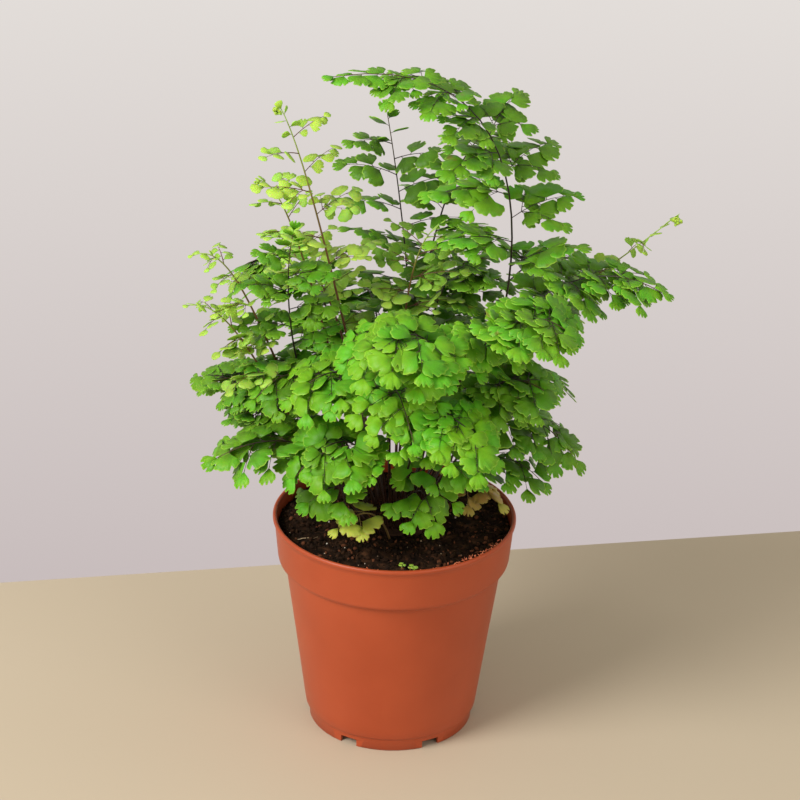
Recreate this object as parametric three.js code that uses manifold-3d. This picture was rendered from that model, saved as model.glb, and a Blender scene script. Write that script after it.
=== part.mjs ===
// A maidenhair fern in a tapered plastic nursery pot of potting soil.
// Units are millimetres, +Z is up, +X is to the right of the front view and -Y faces the front.
// The origin is the middle of the pot's foot, on the surface that it stands on.
import * as THREE from "three";
import { mergeVertices } from "three/addons/utils/BufferGeometryUtils.js";
import Module from "manifold-3d";

const wasm = await Module();
wasm.setup();

// ---- Driving dimensions ----
const pot = {
  height: 112,
  rimRadius: 60, // outside of the lip
  bandHeight: 23, // the wide collar below the lip
  bandRadius: 57.2, // bottom of the collar
  bodyRadius: 54, // top of the tapered body
  baseRadius: 42,
  footRadius: 41,
  footHeight: 6, // step round the bottom edge
  footRing: 2, // width of the ring that the pot stands on
  cornerRise: 6, // height of the rounded corner between the foot and the wall
  cornerFlare: 1.2, // how far that corner widens
  lipDepth: 2.5, // the thickened edge round the top
  wall: 1.5,
  floorUnderside: 4,
  floorThickness: 1.6,
  centrePadRadius: 9,
  notches: 6,
  notchWidth: 9,
  notchHeight: 3.6,
  notchReach: 12, // how far a notch's cut runs in from outside the foot
  drainHoles: 6,
  drainHoleRadius: 3.5,
  drainCircle: 24,
  drainSides: 10,
  padSides: 24,
};
const potSides = 28; // facets round the pot
const soilSides = 24; // facets round the soil
const soilEdge = 105.5; // soil level at the wall
const soilMiddle = 109; // soil level at the crown
const rhizomeSize = [20, 21, 5]; // half length, half width and half height
const stalkRadius = 0.9;
const stalkSides = 4;
const stalkSteps = 8; // straight lengths that a bent stalk is made of
const plantingDepth = 3; // how far the stalks go down into the rhizome
const plateThickness = 0.8;
const plateHalfRoot = 0.5; // half width of a branch where it leaves the stalk
const tipShare = 0.93; // where along the stalk its end branch starts
const tipLength = 0.8; // the end branch's length beside a side branch's
const leanRadius = 110; // a branch this far out faces outwards by `lean` for each 1 upwards
const lean = 0.7;
const scatter = 0.35; // how unevenly neighbouring branches face
const shortening = [1, 0.86, 0.72, 0.58, 0.44]; // lengths tried for a branch that meets another frond
const gap = 0.35; // kept between neighbouring pieces
const tidyTolerance = 0.05; // sliver faces left by the joins are merged within this

const colours = {
  pot: 0xb8512c,
  soil: 0x2b1c12,
  rhizome: 0x3a2416,
  mature: 0x3f8f1f,
  young: 0x8fc83a,
  old: 0xa8a040,
};

// Each frond's stalk is a cubic curve from its root on the soil, by way of pull and crest, to its tip.
// It carries `branches` side branches from the share `bladeFrom` of its length. The longest is `reach`
// long, with leaflets `leaflet` long. `spread` is the compass bearing, in degrees from +X, of the side
// branches where the stalk is upright, and `droop` is how far a branch sags, as a share of its length.
const fronds = [
  { name: "frond_tall_arching", age: "mature", root: [9, 5], pull: [60, 12, 180], crest: [88, 15, 354],
    tip: [-31, -22, 346], bladeFrom: 0.44, branches: 13, reach: 42, leaflet: 11, spread: 10, droop: 0.3 },
  { name: "frond_back_upright", age: "mature", root: [3, 15], pull: [14, 48, 160], crest: [0, 60, 255],
    tip: [-8, 50, 303], bladeFrom: 0.38, branches: 13, reach: 38, leaflet: 11, spread: 0, droop: 0.25 },
  { name: "frond_young_left", age: "young", root: [-3, 2], pull: [-24, 0, 205], crest: [-43, -8, 298],
    tip: [-56, -10, 325], bladeFrom: 0.5, branches: 8, reach: 30, leaflet: 9, spread: 15, droop: 0.2 },
  { name: "frond_crozier_left", age: "young", root: [-8, 7], pull: [-38, 10, 205], crest: [-50, 10, 276],
    tip: [-66, 5, 284], bladeFrom: 0.45, branches: 8, reach: 26, leaflet: 8, spread: 20, droop: 0.2 },
  { name: "frond_far_left_upper", age: "young", root: [-14, 0], pull: [-60, -5, 175], crest: [-72, -10, 262],
    tip: [-96, -20, 256], bladeFrom: 0.4, branches: 9, reach: 24, leaflet: 8, spread: 30, droop: 0.3 },
  { name: "frond_far_left_lower", age: "young", root: [-11, -5], pull: [-60, -10, 168],
    crest: [-74, -14, 232], tip: [-98, -24, 232], bladeFrom: 0.42, branches: 8, reach: 26, leaflet: 9,
    spread: 30, droop: 0.35 },
  { name: "frond_left_slender", age: "mature", root: [-15, 8], pull: [-50, 0, 165], crest: [-57, -14, 232],
    tip: [-50, -18, 268], bladeFrom: 0.42, branches: 9, reach: 30, leaflet: 9, spread: 5, droop: 0.3 },
  { name: "frond_left_level", age: "mature", root: [-13, 10], pull: [-35, 26, 168], crest: [-68, 14, 186],
    tip: [-91, 0, 180], bladeFrom: 0.45, branches: 10, reach: 32, leaflet: 11, spread: 100, droop: 0.25 },
  { name: "frond_left_under", age: "mature", root: [-8, 15], pull: [-28, 16, 152], crest: [-55, 0, 176],
    tip: [-78, -12, 168], bladeFrom: 0.5, branches: 7, reach: 28, leaflet: 11, spread: 100, droop: 0.35 },
  { name: "frond_lower_left", age: "mature", root: [-7, -4], pull: [-27, -25, 165], crest: [-55, -42, 180],
    tip: [-83, -50, 166], bladeFrom: 0.48, branches: 8, reach: 26, leaflet: 15, spread: 60, droop: 0.3 },
  { name: "frond_right_long", age: "mature", root: [11, 10], pull: [30, 26, 192], crest: [76, 18, 256],
    tip: [124, 0, 234], bladeFrom: 0.4, branches: 12, reach: 36, leaflet: 12, spread: 90, droop: 0.25 },
  { name: "frond_right_rising", age: "young", root: [13, 14], pull: [40, 38, 195], crest: [92, 40, 217],
    tip: [131, 30, 260], bladeFrom: 0.55, branches: 8, reach: 22, leaflet: 8, spread: 90, droop: 0.2 },
  { name: "frond_front_upper", age: "mature", root: [3, -6], pull: [30, -45, 225], crest: [20, -68, 258],
    tip: [-22, -72, 228], bladeFrom: 0.42, branches: 11, reach: 34, leaflet: 13, spread: 0, droop: 0.35 },
  { name: "frond_front_right", age: "mature", root: [7, -3], pull: [26, -36, 225], crest: [54, -48, 254],
    tip: [78, -54, 236], bladeFrom: 0.42, branches: 12, reach: 31, leaflet: 13, spread: 80, droop: 0.27 },
  { name: "frond_middle_right", age: "mature", root: [11, 0], pull: [26, -14, 185], crest: [50, -24, 208],
    tip: [70, -32, 195], bladeFrom: 0.42, branches: 10, reach: 32, leaflet: 13, spread: 80, droop: 0.35 },
  { name: "frond_right_low", age: "mature", root: [15, 3], pull: [35, -2, 172], crest: [62, -8, 186],
    tip: [86, -14, 152], bladeFrom: 0.5, branches: 7, reach: 26, leaflet: 14, spread: 90, droop: 0.3 },
  { name: "frond_right_lowest", age: "mature", root: [12, -6], pull: [26, -15, 150], crest: [50, -20, 166],
    tip: [70, -24, 144], bladeFrom: 0.5, branches: 6, reach: 18, leaflet: 14, spread: 90, droop: 0.3 },
  { name: "frond_front_low", age: "mature", root: [2, -11], pull: [6, -46, 192], crest: [20, -66, 214],
    tip: [44, -72, 180], bladeFrom: 0.42, branches: 10, reach: 28, leaflet: 13, spread: 20, droop: 0.4 },
  { name: "frond_front_low_left", age: "mature", root: [-3, -10], pull: [-8, -38, 168],
    crest: [-23, -57, 196], tip: [-46, -64, 164], bladeFrom: 0.45, branches: 8, reach: 28, leaflet: 13,
    spread: 30, droop: 0.35 },
  { name: "frond_centre_left", age: "mature", root: [-3, -2], pull: [-10, -24, 195], crest: [-22, -38, 222],
    tip: [-48, -44, 196], bladeFrom: 0.45, branches: 9, reach: 28, leaflet: 13, spread: 20, droop: 0.35 },
  { name: "frond_centre_upper", age: "young", root: [0, 8], pull: [0, 18, 200], crest: [2, 20, 245],
    tip: [18, 10, 262], bladeFrom: 0.5, branches: 8, reach: 28, leaflet: 9, spread: 20, droop: 0.2 },
  { name: "frond_back_tall", age: "mature", root: [0, 19], pull: [6, 42, 215], crest: [22, 70, 286],
    tip: [48, 95, 280], bladeFrom: 0.38, branches: 10, reach: 34, leaflet: 11, spread: -20, droop: 0.3 },
  { name: "frond_back_right", age: "mature", root: [9, 17], pull: [32, 60, 195], crest: [62, 84, 236],
    tip: [98, 88, 206], bladeFrom: 0.34, branches: 11, reach: 34, leaflet: 12, spread: 120, droop: 0.3 },
  { name: "frond_back_left", age: "mature", root: [-7, 18], pull: [-26, 60, 195], crest: [-50, 84, 232],
    tip: [-84, 82, 204], bladeFrom: 0.34, branches: 11, reach: 34, leaflet: 12, spread: 60, droop: 0.3 },
  { name: "frond_back_low", age: "mature", root: [3, 22], pull: [6, 66, 165], crest: [12, 96, 184],
    tip: [18, 118, 148], bladeFrom: 0.36, branches: 9, reach: 30, leaflet: 12, spread: 0, droop: 0.35 },
  { name: "frond_back_low_left", age: "mature", root: [-12, 17], pull: [-38, 50, 155], crest: [-60, 76, 170],
    tip: [-84, 96, 138], bladeFrom: 0.36, branches: 8, reach: 28, leaflet: 12, spread: 40, droop: 0.35 },
  { name: "frond_back_low_right", age: "mature", root: [14, 19], pull: [40, 52, 160], crest: [60, 80, 170],
    tip: [84, 100, 140], bladeFrom: 0.36, branches: 8, reach: 28, leaflet: 12, spread: 130, droop: 0.35 },
  { name: "frond_low_front", age: "mature", root: [6, -13], pull: [8, -30, 145], crest: [13, -42, 154],
    tip: [18, -50, 136], bladeFrom: 0.5, branches: 4, reach: 18, leaflet: 14, spread: 20, droop: 0.35 },
  { name: "frond_low_left", age: "mature", root: [-7, -13], pull: [-15, -28, 142], crest: [-25, -38, 153],
    tip: [-40, -45, 141], bladeFrom: 0.5, branches: 4, reach: 18, leaflet: 14, spread: 30, droop: 0.35 },
  { name: "old_frond_left", age: "old", root: [-2, -17], pull: [-6, -26, 126], crest: [-14, -36, 136],
    tip: [-26, -44, 127], bladeFrom: 0.55, branches: 3, reach: 12, leaflet: 13, spread: 20, droop: 0.3 },
  { name: "old_frond_right", age: "old", root: [17, 8], pull: [26, 8, 124], crest: [38, 3, 130],
    tip: [50, -3, 121], bladeFrom: 0.55, branches: 3, reach: 12, leaflet: 12, spread: 90, droop: 0.3 },
  { name: "frond_front_middle", age: "mature", root: [-2, -6], pull: [-4, -26, 188], crest: [-5, -46, 226],
    tip: [8, -78, 190], bladeFrom: 0.42, branches: 8, reach: 26, leaflet: 13, spread: 10, droop: 0.35 },
  { name: "frond_low_middle", age: "mature", root: [9, -10], pull: [13, -20, 146], crest: [20, -30, 166],
    tip: [34, -46, 156], bladeFrom: 0.5, branches: 4, reach: 18, leaflet: 13, spread: 60, droop: 0.35 },
  { name: "frond_left_middle", age: "mature", root: [-11, 4], pull: [-30, -6, 178], crest: [-44, -20, 214],
    tip: [-66, -34, 190], bladeFrom: 0.42, branches: 9, reach: 28, leaflet: 11, spread: 50, droop: 0.3 },
  { name: "frond_centre_back", age: "mature", root: [4, 11], pull: [12, 24, 195], crest: [16, 30, 240],
    tip: [42, 26, 238], bladeFrom: 0.45, branches: 9, reach: 30, leaflet: 11, spread: 10, droop: 0.3 },
  { name: "frond_left_inner", age: "young", root: [-7, 11], pull: [-24, 24, 190], crest: [-34, 28, 240],
    tip: [-60, 22, 240], bladeFrom: 0.45, branches: 8, reach: 26, leaflet: 9, spread: 20, droop: 0.25 },
  { name: "frond_back_middle", age: "mature", root: [-2, 14], pull: [-6, 40, 180], crest: [-12, 66, 212],
    tip: [-20, 96, 190], bladeFrom: 0.38, branches: 10, reach: 32, leaflet: 12, spread: 0, droop: 0.3 },
  { name: "frond_back_inner_right", age: "mature", root: [7, 22], pull: [20, 44, 162], crest: [32, 68, 190],
    tip: [48, 100, 166], bladeFrom: 0.38, branches: 9, reach: 30, leaflet: 12, spread: 150, droop: 0.3 },
  { name: "frond_back_inner_left", age: "mature", root: [-5, 22], pull: [-14, 46, 160], crest: [-28, 72, 186],
    tip: [-46, 100, 162], bladeFrom: 0.38, branches: 9, reach: 30, leaflet: 12, spread: 30, droop: 0.3 },
];

// ---- Solids ----
// A closed three.js geometry as a manifold-3d solid.
function solidFrom(geometry) {
  const bare = geometry.index ? geometry.toNonIndexed() : geometry.clone();
  bare.deleteAttribute("normal");
  bare.deleteAttribute("uv");
  const merged = mergeVertices(bare, 1e-3);
  return new wasm.Manifold(
    new wasm.Mesh({
      numProp: 3,
      vertProperties: merged.attributes.position.array,
      triVerts: new Uint32Array(merged.index.array),
    }),
  );
}

// A manifold-3d solid as a three.js geometry.
function geometryFrom(solid) {
  const mesh = solid.getMesh();
  const geometry = new THREE.BufferGeometry();
  geometry.setAttribute("position", new THREE.BufferAttribute(new Float32Array(mesh.vertProperties), 3));
  geometry.setIndex(new THREE.BufferAttribute(new Uint32Array(mesh.triVerts), 1));
  geometry.computeVertexNormals();
  return geometry;
}

// A lathe turned about +Z from [radius, height] points.
function turned(profile, segments) {
  const points = profile.map(([radius, height]) => new THREE.Vector2(radius, height));
  return new THREE.LatheGeometry(points, segments).rotateX(Math.PI / 2);
}

// The biggest connected piece of a solid.
function mainPiece(solid) {
  return solid.decompose().reduce((best, piece) => (piece.volume() > best.volume() ? piece : best));
}

// ---- Pot: a thin injection-moulded wall with a wide collar, a rounded lip and a notched foot ring ----
function potSolid() {
  const p = pot;
  const bandBottom = p.height - p.bandHeight;
  const inside = p.floorUnderside + p.floorThickness;
  const profile = [
    [0, p.floorUnderside],
    [p.footRadius - p.footRing, p.floorUnderside],
    [p.footRadius - p.footRing, 0],
    [p.footRadius - 0.6, 0],
    [p.footRadius, 0.6],
    [p.footRadius, p.footHeight],
    [p.baseRadius, p.footHeight + 0.8],
    [p.baseRadius + p.cornerFlare, p.footHeight + p.cornerRise],
    [p.bodyRadius, bandBottom - 3],
    [p.bandRadius, bandBottom + 1],
    [p.rimRadius - 1, p.height - p.lipDepth],
    [p.rimRadius, p.height - 1.5],
    [p.rimRadius - 0.7, p.height],
    [p.rimRadius - p.wall, p.height],
    [p.rimRadius - 0.8 - p.wall, p.height - 3],
    [p.bandRadius - p.wall, bandBottom + 1.6],
    [p.bodyRadius - p.wall, bandBottom - 2.4],
    [p.baseRadius + p.cornerFlare - p.wall, p.footHeight + p.cornerRise],
    [p.baseRadius - 1 - p.wall, inside],
    [0, inside],
  ];
  let solid = solidFrom(turned(profile, potSides));
  const padHeight = p.floorUnderside + p.floorThickness / 2;
  const pad = solidFrom(
    new THREE.CylinderGeometry(p.centrePadRadius, p.centrePadRadius, padHeight, p.padSides)
      .rotateX(Math.PI / 2)
      .translate(0, 0, padHeight / 2),
  );
  solid = solid.add(pad);
  for (let i = 0; i < p.notches; i++) {
    const angle = ((i + 0.5) / p.notches) * 2 * Math.PI - Math.PI / 2;
    const notch = new THREE.BoxGeometry(p.notchReach, p.notchWidth, 2 * p.notchHeight)
      .translate(p.footRadius - p.footRing, 0, 0)
      .rotateZ(angle);
    solid = solid.subtract(solidFrom(notch));
  }
  for (let i = 0; i < p.drainHoles; i++) {
    const holeDepth = 2 * inside;
    const hole = new THREE.CylinderGeometry(p.drainHoleRadius, p.drainHoleRadius, holeDepth, p.drainSides)
      .rotateX(Math.PI / 2)
      .translate(p.drainCircle, 0, inside)
      .rotateZ((i / p.drainHoles) * 2 * Math.PI);
    solid = solid.subtract(solidFrom(hole));
  }
  return solid;
}

// ---- Soil: fills the pot to just under the lip and heaps up a little at the crown ----
function soilSolid() {
  const p = pot;
  const bandBottom = p.height - p.bandHeight;
  const clear = p.wall + gap;
  const lipInside = p.rimRadius - 0.8 - clear;
  const edge = lipInside - ((p.height - 3 - soilEdge) / p.bandHeight) * (p.rimRadius - p.bandRadius);
  const profile = [
    [0, p.floorUnderside + p.floorThickness + gap],
    [p.baseRadius - 1.4 - clear, p.floorUnderside + p.floorThickness + gap],
    [p.baseRadius + 0.8 - clear, p.footHeight + p.cornerRise],
    [p.bodyRadius - 0.3 - clear, bandBottom - 2.4],
    [p.bandRadius - 0.4 - clear, bandBottom + 1.6],
    [edge - 0.3, soilEdge],
    [edge * 0.62, soilMiddle - 1.2],
    [0, soilMiddle],
  ];
  return solidFrom(turned(profile, soilSides));
}

// ---- Rhizome: the low scaly rootstock at the soil's surface that the stalks rise from ----
function rhizomeSolid(grow) {
  return solidFrom(
    new THREE.SphereGeometry(1, 10, 5)
      .rotateX(Math.PI / 2)
      .scale(...rhizomeSize.map((half) => half + grow))
      .translate(2, 3, soilMiddle - 1.5),
  );
}

// ---- Fronds ----
const up = new THREE.Vector3(0, 0, 1);

// An even spread of values from -0.5 to 0.5 that looks irregular.
const wobble = (n) => ((n * 0.61803399 + 0.37) % 1) - 0.5;

function stalkCurve(frond) {
  const [x, y] = frond.root;
  return new THREE.CubicBezierCurve3(
    new THREE.Vector3(x, y, soilMiddle - plantingDepth),
    ...[frond.pull, frond.crest, frond.tip].map((at) => new THREE.Vector3(...at)),
  );
}

// Where each side branch leaves the stalk, which way it goes and which way its leaflets face.
// The last branch is the end of the stalk itself.
function branchesOf(frond, index) {
  const curve = stalkCurve(frond);
  const bearing = THREE.MathUtils.degToRad(frond.spread);
  const spread = new THREE.Vector3(Math.cos(bearing), Math.sin(bearing), 0);
  const found = [];
  for (let i = 0; i < frond.branches; i++) {
    const last = i === frond.branches - 1;
    const share = (i + 0.3) / frond.branches;
    const t = last ? tipShare : frond.bladeFrom + (0.97 - frond.bladeFrom) * share;
    const n = index * 17 + i * 5;
    const at = curve.getPoint(t);
    const along = curve.getTangent(t);
    const level = Math.hypot(along.x, along.y);
    const across = new THREE.Vector3().crossVectors(along, up).normalize();
    const side = spread.clone().lerp(across, level).normalize();
    const out = last
      ? along.clone()
      : side
          .multiplyScalar(i % 2 ? -1 : 1)
          .addScaledVector(along, 0.55 + 0.3 * wobble(n + 1))
          .addScaledVector(across, (1 - level) * 0.9 * wobble(n + 2));
    out.normalize();
    const length = frond.reach * (1 - 0.55 * share * share) * (1 + 0.25 * wobble(n));
    const away = new THREE.Vector3(at.x, at.y, 0).multiplyScalar(1 / leanRadius);
    const face = up.clone().addScaledVector(away, lean);
    face.x += scatter * wobble(n + 3);
    face.y += scatter * wobble(n + 4) - 0.1;
    found.push({ at, out, face: face.normalize(), length: last ? length * tipLength : length });
  }
  return found;
}

// A branch's leaflets as one thin plate on a short stalk: an outline with its length along x, extruded
// and then bent down along the branch.
function plateSolid(frond, branch, grow) {
  const { length, at, out, face } = branch;
  const half = frond.leaflet * Math.min(1, 0.55 + length / 90);
  const edge = [
    [-grow, plateHalfRoot + grow],
    [0.55 * length, half + grow],
    [1.04 * length + grow, 0.45 * half + grow],
  ];
  const mirrored = edge.map(([x, y]) => [x, -y]).reverse();
  const shape = new THREE.Shape([...edge, ...mirrored].map(([x, y]) => new THREE.Vector2(x, y)));
  const depth = plateThickness + 2 * grow;
  const geometry = new THREE.ExtrudeGeometry(shape, { depth, bevelEnabled: false });
  const position = geometry.attributes.position;
  const point = new THREE.Vector3();
  for (let i = 0; i < position.count; i++) {
    const x = position.getX(i);
    const s = x / length;
    const along = out.clone().addScaledVector(up, -2 * frond.droop * s).normalize();
    const across = new THREE.Vector3().crossVectors(face, along).normalize();
    const normal = new THREE.Vector3().crossVectors(along, across);
    point.copy(at).addScaledVector(out, x).addScaledVector(up, -frond.droop * length * s * s);
    point.addScaledVector(across, position.getY(i)).addScaledVector(normal, position.getZ(i) - depth / 2);
    position.setXYZ(i, point.x, point.y, point.z);
  }
  return solidFrom(geometry);
}

function stalkSolid(frond, grow) {
  const radius = stalkRadius + grow;
  const corners = Array.from({ length: stalkSides }, (_, k) => (k / stalkSides) * 2 * Math.PI);
  const section = new THREE.Shape(
    corners.map((angle) => new THREE.Vector2(radius * Math.cos(angle), radius * Math.sin(angle))),
  );
  const path = { steps: stalkSteps, bevelEnabled: false, extrudePath: stalkCurve(frond) };
  return solidFrom(new THREE.ExtrudeGeometry(section, path));
}

function joined(solids) {
  return wasm.Manifold.union(solids);
}

// Neighbouring fronds interleave. A branch is shortened until it clears the other fronds' stalks and the
// branches of the fronds before its own, and a branch that never clears them is left off.
const stalkRoom = fronds.map((frond) => stalkSolid(frond, gap));
const branchRoom = [];
const frondSolids = fronds.map((frond, index) => {
  const taken = joined([...stalkRoom.filter((_, k) => k !== index), ...branchRoom]);
  const solids = [stalkSolid(frond, 0)];
  for (const branch of branchesOf(frond, index)) {
    const sizes = shortening.map((share) => ({ ...branch, length: share * branch.length }));
    const clear = sizes.find((size) => plateSolid(frond, size, 0).intersect(taken).isEmpty());
    if (!clear) continue;
    solids.push(plateSolid(frond, clear, 0));
    branchRoom.push(plateSolid(frond, clear, gap));
  }
  return mainPiece(joined(solids)).simplify(tidyTolerance);
});

// ---- The assembly ----
const allStalks = joined(stalkRoom);
const soil = mainPiece(soilSolid().subtract(rhizomeSolid(gap)).subtract(allStalks));
const rhizome = mainPiece(rhizomeSolid(0).subtract(allStalks));

const group = new THREE.Group();
function addNode(name, solid, colour, roughness) {
  const material = new THREE.MeshStandardMaterial({ color: colour, roughness, metalness: 0 });
  const mesh = new THREE.Mesh(geometryFrom(solid), material);
  mesh.name = name;
  group.add(mesh);
}

addNode("nursery_pot", potSolid(), colours.pot, 0.55);
addNode("potting_soil", soil, colours.soil, 1);
addNode("rhizome", rhizome, colours.rhizome, 0.9);
fronds.forEach((frond, index) => addNode(frond.name, frondSolids[index], colours[frond.age], 0.5));

export default group;
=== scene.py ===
import math
import random

import bmesh
import bpy
from mathutils import Matrix, Vector, noise


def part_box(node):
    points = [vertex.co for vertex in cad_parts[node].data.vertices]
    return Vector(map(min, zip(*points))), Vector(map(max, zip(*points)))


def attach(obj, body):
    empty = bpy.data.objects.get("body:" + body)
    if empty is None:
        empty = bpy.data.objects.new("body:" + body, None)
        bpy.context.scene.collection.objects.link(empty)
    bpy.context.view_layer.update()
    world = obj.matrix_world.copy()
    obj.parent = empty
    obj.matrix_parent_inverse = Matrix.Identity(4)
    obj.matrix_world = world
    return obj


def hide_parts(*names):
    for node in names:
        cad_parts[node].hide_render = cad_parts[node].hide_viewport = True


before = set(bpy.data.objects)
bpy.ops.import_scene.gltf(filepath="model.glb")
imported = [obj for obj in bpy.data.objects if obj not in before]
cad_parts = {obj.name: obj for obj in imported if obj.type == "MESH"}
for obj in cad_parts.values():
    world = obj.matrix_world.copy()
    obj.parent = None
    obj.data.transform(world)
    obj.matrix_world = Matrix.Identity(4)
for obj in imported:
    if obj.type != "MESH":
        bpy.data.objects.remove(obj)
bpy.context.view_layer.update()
MM = 0.001
UP = Vector((0, 0, 1))

# ---------------------------------------------------------------------------------------------------
# Pot
# A 12 cm nursery pot, injection moulded in thin terracotta-coloured plastic. It has a tapered body, a
# deep collar with a beaded lip, and a foot band whose notches and floor holes let the water out.
# ---------------------------------------------------------------------------------------------------
pot_low, pot_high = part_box("nursery_pot")
rim_radius = pot_high.x / MM
pot_height = pot_high.z / MM
collar_depth = 23
collar_low = pot_height - collar_depth
wall = 1.4
pot_profile = [  # radius and height, from the middle of the foot round the outside and back down inside
    (0, 0),
    (8.6, 0),
    (9, 0.5),
    (9.6, 4),
    (38.4, 4),
    (38.9, 3.4),
    (39.2, 0.3),
    (39.6, 0),
    (40.5, 0),
    (41, 0.4),
    (41.5, 6.2),
    (41.8, 6.9),
    (42.5, 7.3),
    (42.9, 8),
    (43.5, 12),
    (48.6, 50),
    (53.5, collar_low - 4),
    (53.8, collar_low - 2.4),
    (54.4, collar_low - 1.3),
    (56.4, collar_low - 0.2),
    (57.1, collar_low + 0.6),
    (57.4, collar_low + 2),
    (58.9, pot_height - 5),
    (59.1, pot_height - 2.9),
    (59.6, pot_height - 2.3),
    (rim_radius, pot_height - 1.6),
    (rim_radius, pot_height - 0.8),
    (59.6, pot_height - 0.2),
    (59, pot_height),
    (58.4, pot_height - 0.2),
    (58, pot_height - 0.9),
    (57.7, pot_height - 4),
    (57.4 - wall, collar_low + 2),
    (55.4, collar_low + 0.9),
    (53.8 - wall, collar_low - 1.6),
    (43.5 - wall, 12),
    (42.5 - wall, 8),
    (39.6, 6.2),
    (38, 5.6),
    (0, 5.6),
]
bm = bmesh.new()
outline = [bm.verts.new((radius * MM, 0, height * MM)) for radius, height in pot_profile]
edges = [bm.edges.new(pair) for pair in zip(outline, outline[1:])]
bmesh.ops.spin(
    bm,
    geom=outline + edges,
    cent=(0, 0, 0),
    axis=(0, 0, 1),
    angle=math.tau,
    steps=128,
    use_merge=True,
)
bmesh.ops.remove_doubles(bm, verts=bm.verts, dist=0.01 * MM)
bmesh.ops.recalc_face_normals(bm, faces=bm.faces)
pot_mesh = bpy.data.meshes.new("nursery_pot_moulding")
bm.to_mesh(pot_mesh)
bm.free()
pot = bpy.data.objects.new("nursery_pot_moulding", pot_mesh)
bpy.context.collection.objects.link(pot)

# The foot band is cut by six notches, each with a shallow step beside the gap, and the floor by holes.
notches = 6
half_pitch = Matrix.Rotation(math.pi / notches, 4, "Z")
foot_radius = 41


def cut_from_pot(name, add_shapes):
    """Takes a ring of shapes, made by add_shapes(bm, turn), out of the pot."""
    bm = bmesh.new()
    for i in range(notches):
        add_shapes(bm, Matrix.Rotation(math.tau * i / notches, 4, "Z"))
    bmesh.ops.recalc_face_normals(bm, faces=bm.faces)
    mesh = bpy.data.meshes.new(name)
    bm.to_mesh(mesh)
    bm.free()
    cutter = bpy.data.objects.new(name, mesh)
    bpy.context.collection.objects.link(cutter)
    cut = pot.modifiers.new(name, "BOOLEAN")
    cut.operation = "DIFFERENCE"
    cut.solver = "EXACT"
    cut.object = cutter
    return cutter


def add_step(bm, turn):
    place = turn @ half_pitch @ Matrix.Translation((0, -(foot_radius + 1.9) * MM, 0))
    bmesh.ops.create_cube(bm, size=1, matrix=place @ Matrix.Diagonal((19 * MM, 4.8 * MM, 8.6 * MM, 1)))


def add_gap_and_hole(bm, turn):
    place = turn @ half_pitch @ Matrix.Translation((0, -foot_radius * MM, 0))
    bmesh.ops.create_cube(bm, size=1, matrix=place @ Matrix.Diagonal((9 * MM, 12 * MM, 7.2 * MM, 1)))
    hole = turn @ Matrix.Translation((24 * MM, 0, 5 * MM))
    bmesh.ops.create_cone(
        bm, cap_ends=True, segments=32, radius1=3.5 * MM, radius2=3.5 * MM, depth=6 * MM, matrix=hole
    )


cutters = [cut_from_pot("notch steps", add_step), cut_from_pot("notches and holes", add_gap_and_hole)]
cut_pot = bpy.data.meshes.new_from_object(pot.evaluated_get(bpy.context.evaluated_depsgraph_get()))
pot.modifiers.clear()
pot.data = cut_pot
for cutter in cutters:
    bpy.data.objects.remove(cutter)
edge_round = pot.modifiers.new("rounded edges", "BEVEL")
edge_round.width = 0.25 * MM
edge_round.segments = 2
edge_round.limit_method = "ANGLE"
edge_round.angle_limit = math.radians(50)
for face in pot.data.polygons:
    face.use_smooth = True
pot.data.set_sharp_from_angle(angle=math.radians(50))


# Fine mottling that breaks up a moulded or grown surface: a colour mask and a height.
def grain_group():
    group = bpy.data.node_groups.new("fine grain", "ShaderNodeTree")
    group.interface.new_socket("Scale", in_out="INPUT", socket_type="NodeSocketFloat")
    group.interface.new_socket("Mask", in_out="OUTPUT", socket_type="NodeSocketFloat")
    group.interface.new_socket("Height", in_out="OUTPUT", socket_type="NodeSocketFloat")
    nodes, links = group.nodes, group.links
    given = nodes.new("NodeGroupInput")
    made = nodes.new("NodeGroupOutput")
    place = nodes.new("ShaderNodeTexCoord")
    broad = nodes.new("ShaderNodeTexNoise")
    broad.inputs["Detail"].default_value = 4
    fine = nodes.new("ShaderNodeTexNoise")
    fine.inputs["Detail"].default_value = 2
    finer = nodes.new("ShaderNodeMath")
    finer.operation = "MULTIPLY"
    finer.inputs[1].default_value = 14
    links.new(given.outputs["Scale"], broad.inputs["Scale"])
    links.new(given.outputs["Scale"], finer.inputs[0])
    links.new(finer.outputs[0], fine.inputs["Scale"])
    links.new(place.outputs["Object"], broad.inputs["Vector"])
    links.new(place.outputs["Object"], fine.inputs["Vector"])
    links.new(broad.outputs["Fac"], made.inputs["Mask"])
    links.new(fine.outputs["Fac"], made.inputs["Height"])
    return group


fine_grain = grain_group()


def new_material(name):
    material = bpy.data.materials.new(name)
    material.use_nodes = True
    nodes = material.node_tree.nodes
    return material, nodes, material.node_tree.links, nodes["Principled BSDF"]


def colour_ramp(nodes, stops, interpolation="LINEAR"):
    ramp = nodes.new("ShaderNodeValToRGB")
    ramp.color_ramp.interpolation = interpolation
    while len(ramp.color_ramp.elements) < len(stops):
        ramp.color_ramp.elements.new(0.5)
    for element, (position, colour) in zip(ramp.color_ramp.elements, stops):
        element.position = position
        element.color = (*colour, 1)
    return ramp


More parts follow.
